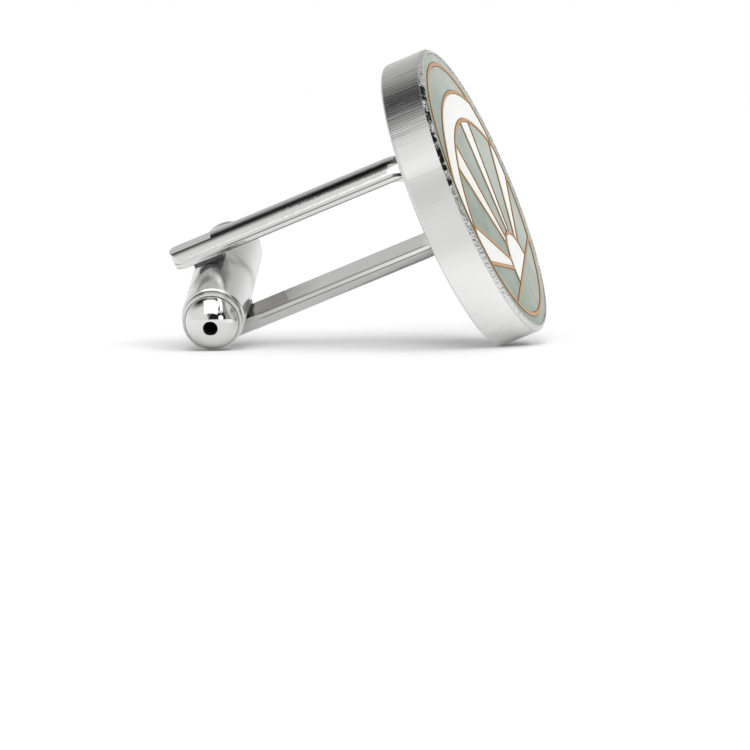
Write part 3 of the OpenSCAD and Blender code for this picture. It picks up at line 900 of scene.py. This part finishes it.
turn = full_turn(320)
inner = np.stack([np.cos(turn), np.sin(turn)], axis=1)
slab = cell(inner * (RING_OUT_R + FIT), inner * (RECESS_R - 2 * FIT), rows=15, distance=border_distance)
piece("cell_border", slab[:4], "fixed", sage, ["enamel_border"])

# %% [markdown]
# ## The fork
# Both posts and the bar between them are one bent rod of D-shaped section: flat inside, round outside,
# with a narrow upright land on each side. It is made as that section carried along a path, up one post,
# round the corner, down the bar and back along the other post. At the free ends the section narrows to
# nothing along a circle, which rounds the post as seen from above; over the pivot the crown is cut flat
# for the pin's spread end; and at the head everything past the seat is cut away.

# %% Fork


def crown_height(side):
    """Height of the round side over the flat one: an arc of the crown's radius."""
    return POST_T - CROWN_R + np.sqrt(CROWN_R**2 - side**2)


def soft_corner(corner, back, front, count=6):
    """A corner rounded by a curve that leaves one side and joins the other: (1-t)^2, 2t(1-t), t^2."""
    t = np.linspace(0, 1, count)[:, None, None]
    return (1 - t) ** 2 * back + 2 * t * (1 - t) * corner + t**2 * front


def rod_section(half, top):
    """(side, height) of the section at each station: half its width there, and how high it may be."""
    ease = np.minimum(POST_EDGE, 0.45 * half)
    zero = 0 * half

    def at(side, height):
        """One point of the section at every station."""
        return np.stack([side, height + zero], axis=-1)

    shoulder = np.minimum(top, crown_height(half))
    over = np.minimum(top, crown_height(half - ease))
    foot = soft_corner(at(half, zero), at(half - ease, zero), at(half, ease))
    land = [at(half, ease + (shoulder - 2.3 * ease) * s) for s in (0.06, 0.94)]
    dent = ((1.3, 0), (0.8, 0.3 * ease), (0.3, 0))
    brow = [at(half - depth, shoulder - ease * drop) for drop, depth in dent]
    brow += list(soft_corner(at(half, shoulder), at(half, shoulder - 0.25 * ease), at(half - ease, over)))
    widest = math.asin((POST_W / 2) / CROWN_R)
    side = CROWN_R * np.sin(np.linspace(widest, 0, 25)[1:]) / (POST_W / 2)
    crown = [at((half - ease) * s, np.minimum(top, crown_height((half - ease) * s))) for s in side]
    base = [at(zero, zero), at((half - ease) * 0.96, zero)]
    right = np.stack(base + list(foot) + land + brow + crown)
    left = right[-2::-1] * (-1, 1)
    return np.concatenate([right, left]).transpose(1, 0, 2)


# Stations along half the rod: round the tail, over the flat, up its small step, on to the bend and round it.
tail = np.linspace(0, math.asin(POST_W / 2 / TAIL_ROUND), 22)
tail_x = TAIL_ROUND - POST_TAIL - TAIL_ROUND * np.cos(tail)
to_flat = np.linspace(tail_x[-1], FLAT_REACH - 0.02, 14)[1:]
flat_step = [FLAT_REACH, FLAT_REACH + 0.012, FLAT_REACH + 0.04]
run_x = np.concatenate([to_flat, flat_step, np.linspace(FLAT_REACH + 0.3, BEND_X, 42)])
post_x = np.concatenate([tail_x, run_x])
half_width = np.concatenate([TAIL_ROUND * np.sin(tail), np.full(len(run_x), POST_W / 2)])
top_limit = np.where(post_x < FLAT_REACH + 0.006, POST_T - FLAT_DEPTH, POST_T)
bend = np.linspace(np.pi / 2, 0, 33)[1:]
bend_out = np.stack([np.cos(bend), np.sin(bend)], axis=1)
post_out = np.tile([0.0, 1.0], (len(post_x), 1))
post_path = np.stack([post_x, np.full(len(post_x), POST_GAP / 2)], axis=1)
half_path = np.concatenate([post_path, (BEND_X, CORNER_Z) + CORNER_R * bend_out])
half_out = np.concatenate([post_out, bend_out])
mirror = np.array([1.0, -1.0])
middle_path = np.concatenate([half_path, half_path[::-1] * mirror])
outward = np.concatenate([half_out, half_out[::-1] * mirror])
halves = np.concatenate([half_width, np.full(len(bend), POST_W / 2)])
tops = np.concatenate([top_limit, np.full(len(bend), POST_T)])
section = rod_section(np.concatenate([halves, halves[::-1]]), np.concatenate([tops, tops[::-1]]))
side, height = section[..., 0], section[..., 1]
fork_x = np.minimum(middle_path[:, :1] + outward[:, :1] * height, SEAT_X)
fork_z = middle_path[:, 1:] + outward[:, 1:] * height
fork_grid = np.stack([fork_x, side, fork_z], axis=-1)
piece("bent_fork", [fork_grid], "fixed", cast_plating, ["fork"])

# %% [markdown]
# ## Solder, pin and friction plates
# The fork is soldered to the head: a thin pad of solder spreads round its foot with a hollow edge. The pin
# is a rod whose ends were spread flush with the posts. The two friction plates are punched from steel
# strip, so their edges are slightly rounded on one side.

# %% Solder pad
# Soft solder sets dull, with a fine ripple that breaks up what it mirrors.
solder, tree, place = start_finish("soft_solder")
ripple = node(tree, "TexNoise", lumps(place, 0.35 * MM, 3.0))
tones = {0: ripple, 6: linear("#A9ACAE"), 7: linear("#C4C6C8")}
solder_finish = {
    "Base Color": node(tree, "Mix", tones, **TINT),
    "Metallic": 1.0,
    "Roughness": node(tree, "MapRange", (ripple, 0.3, 0.7, 0.3, 0.5), **SMOOTH),
    "Normal": relief(tree, (ripple, 0.01)),
}
end_finish(solder, solder_finish)

# The pad follows the fork's foot at PAD_EDGE from it: two half circles and the straight sides between them.
seat_z = CORNER_Z + math.sqrt((CORNER_R + POST_T) ** 2 - (CORNER_R + WEB_T) ** 2)
pad_half = POST_W / 2 + PAD_EDGE
pad_straight = seat_z + PAD_EDGE - pad_half
a = full_turn(128)
pad_profile = [(0, 0), (1, 0), (0.985, 0.25), (0.94, 0.55), (0.88, 0.85), (0.8, 1), (0, 1)]
share, rise = np.array(pad_profile, float).T[:, :, None]
pad_side = share * pad_half * np.cos(a)
upper_half = np.where(np.sin(a) > -1e-9, 1, -1)
pad_up = share * pad_half * np.sin(a) + upper_half * pad_straight * np.minimum(share * 3, 1)
pad_grid = np.stack([REACH - PAD_T * rise + 0 * a, pad_side, pad_up], axis=-1)
piece("solder_fillet", [pad_grid], "fixed", solder, ["solder_pad"])

# %% Pin and friction plates
# Painted shade: the plates' dark grey stands for the shade in the gap between the posts.
shaded_spring_steel = polished_plating("spring_steel_painted_dark", "#5E5F62", 0.32, 0.5, 0.002, 0.001)
flat_z = POST_GAP / 2 + POST_T - FLAT_DEPTH
pin_top = flat_z + PIN_PROUD
pin_end = [(0.0, pin_top), (PIN_HEAD_D / 2, pin_top), (PIN_D / 2, flat_z - PIN_HEAD_H), (PIN_D / 2, 0.0)]
pin_half = rounded(pin_end, [0.015, 0.03], guard=0.01)
pin_profile = np.concatenate([pin_half, pin_half[-2::-1] * (1, -1)])
spread_pin = lathe(pin_profile, 64, **PIN)
piece("spread_pin", [spread_pin], "fixed", pin_plating, ["pivot_rivet"])


def friction_plate(side, shift):
    """A square plate with a round hole: each ray from the pin meets the square at half its size over the
    larger of cos and sin; the profile goes from the hole out along one face and back along the other."""
    corner_x = np.array([1, -1, -1, 1]) * WASHER_L / 2 + shift[0]
    corner_y = np.array([1, 1, -1, -1]) * WASHER_W / 2 + shift[1]
    a = np.unique(np.concatenate([full_turn(96), np.arctan2(corner_y, corner_x) % (2 * np.pi)]))
    x, y = np.cos(a), np.sin(a)
    reach_out = np.minimum(
        (WASHER_L / 2 + np.sign(x) * shift[0]) / np.maximum(np.abs(x), 1e-9),
        (WASHER_W / 2 + np.sign(y) * shift[1]) / np.maximum(np.abs(y), 1e-9),
    )
    hole = PIN_D / 2 + 0.01
    ring = [(0, -1, 0.0), (1, -1, -0.05), (1, -1, -0.02), (1, -0.8, 0), (1, 0.6, 0)]
    ring += [(1, 0.9, -0.02), (1, 1, -0.06), (0, 1, 0.0), (0, -1, 0.0)]
    rows = []
    for outer_share, level_share, inset in ring:
        r = hole + (reach_out - hole) * outer_share + inset
        z = np.full_like(a, side * (POST_GAP - WASHER_T) / 2 + level_share * WASHER_T / 2)
        rows.append(np.stack([r * x, r * y, z], axis=1))
    return np.stack(rows)


for name, side, shift in (("upper", 1, UPPER_SHIFT), ("lower", -1, LOWER_SHIFT)):
    punched = [friction_plate(side, shift)]
    piece("friction_plate_" + name, punched, "fixed", shaded_spring_steel, ["washer_" + name])

# %% [markdown]
# ## The barrel and its domed ends
# The barrel is a turned tube. Near each end a shallow neck sets off a lip, and inside the lip a domed plug
# is pressed in, with a seam between them that catches the dark. A hole in the dome's middle opens into the
# hollow; its edge is rounded, which shines as a ring.

# %% Bare inside of the tube
# Nothing polishes or plates the inside, so it stays dull; its near-black brown is painted shade in the hollow
# and hole.
dark_hollow_finish, tree, place = start_finish("unplated_steel_painted_dark")
dark_blend = node(tree, "TexNoise", lumps(place, 0.4 * MM, 3.0))
tones = {0: dark_blend, 6: linear("#16130F"), 7: linear("#2A2622")}
tones = node(tree, "Mix", tones, **TINT)
dull = node(tree, "MapRange", (dark_blend, 0.3, 0.7, 0.6, 0.8), **SMOOTH)
end_finish(dark_hollow_finish, {"Base Color": tones, "Roughness": dull})

# %% Barrel
half_corners = [
    (BARREL_R, 0.0),
    (BARREL_R, RIM_Z),
    (NECK_R + 0.02, RIM_Z + 0.1),
    (NECK_R, NECK_Z),
    (LIP_R, LIP_Z - 0.2),
    (LIP_R, LIP_Z),
    (MOUTH_R - 0.01, LIP_Z),
    (MOUTH_R - 0.01, LIP_Z - SEAM_DEPTH),
    (PLUG_R + 0.01, LIP_Z - SEAM_DEPTH),
    (PLUG_R + 0.01, LIP_Z - GROOVE - PLUG_H),
    (CAVITY_R, LIP_Z - GROOVE - PLUG_H),
    (CAVITY_R, CAVITY_Z),
    (0.0, CAVITY_Z),
]
half_radii = [0.08, 0.04, 0.2, 0.08, 0.04, 0.02, 0.01, 0.01, 0.01, 0.02, 0.1]
barrel_half = rounded(half_corners, half_radii, guard=0.012)
barrel_profile = np.concatenate([barrel_half[::-1], barrel_half[1:] * (1, -1)])


def in_hollow(middles):
    """Faces of the hollow: nearer to the axis than the mouth, and from just above the groove's floor down."""
    radius, height = np.hypot(middles[:, 0], middles[:, 2]), np.abs(middles[:, 1])
    return (radius < MOUTH_R - 0.01) & (height < LIP_Z - GROOVE + 0.1)


barrel, stands_for = [lathe(barrel_profile, 160, **BARREL)], ["toggle_body"]
slot = "polished_plating"
piece("turned_barrel", barrel, "toggle", barrel_plating, stands_for, dark_hollow_finish, in_hollow)

# %% Domed ends
ball_r = (SEAM_R**2 + DOME_RISE**2) / (2 * DOME_RISE)
ball_z = LIP_Z + DOME_RISE - ball_r
edge_round = 0.06
hole_r = HOLE_R - 0.02
foot_angle = math.atan2(LIP_Z - ball_z, SEAM_R)
top_angle = math.acos((hole_r + edge_round) / ball_r)
sweep = np.linspace(foot_angle, top_angle, 40)
dome = np.stack([ball_r * np.cos(sweep), ball_z + ball_r * np.sin(sweep)], axis=1)
dome_top = dome[-1, 1]
plug_z = LIP_Z - GROOVE - PLUG_H
roll = np.linspace(np.pi / 2, np.pi, 8)[1:]
edge_arc = edge_round * np.stack([np.cos(roll), np.sin(roll)], axis=1)
edge_arc += (hole_r + edge_round, dome_top - edge_round)
foot = [(hole_r, plug_z), (PLUG_R, plug_z), (PLUG_R, LIP_Z - SEAM_DEPTH), (SEAM_R, LIP_Z - SEAM_DEPTH + 0.01)]
wall = [(hole_r, dome_top - edge_round - 0.01), (hole_r, dome_top - 0.2), (hole_r, plug_z)]
cap_profile = np.concatenate([foot, dome, edge_arc, wall])
near_cap = lathe(cap_profile, 128, **BARREL)


def in_hole(middles):
    """Faces of the plug's back and of the hole below its chamfer."""
    radius, height = np.hypot(middles[:, 0], middles[:, 2]), np.abs(middles[:, 1])
    return (height < LIP_Z - GROOVE) | ((radius < hole_r + 0.005) & (height < dome_top - edge_round))


for name, way in (("near", 1), ("far", -1)):
    cap = [near_cap * (1, way, 1)]
    stands_for = ["end_cap_" + name]
    piece("domed_end_" + name, cap, "toggle", dome_plating, stands_for, dark_hollow_finish, in_hole)

# %% [markdown]
# ## Sizes before and after
# The boxes of the solids and of the dressed cufflink are both measured, and how far each side grew is
# printed. The dressed cufflink may not be larger than its solids.

# %% Compare the boxes
low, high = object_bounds()
boxes = {
    "cad": [list(cad_low), list(cad_high)],
    "visual": [list(low), list(high)],
}
growth = (np.array(boxes["visual"]) - np.array(boxes["cad"])) / MM
print("growth in mm, low then high", growth.round(3).tolist())
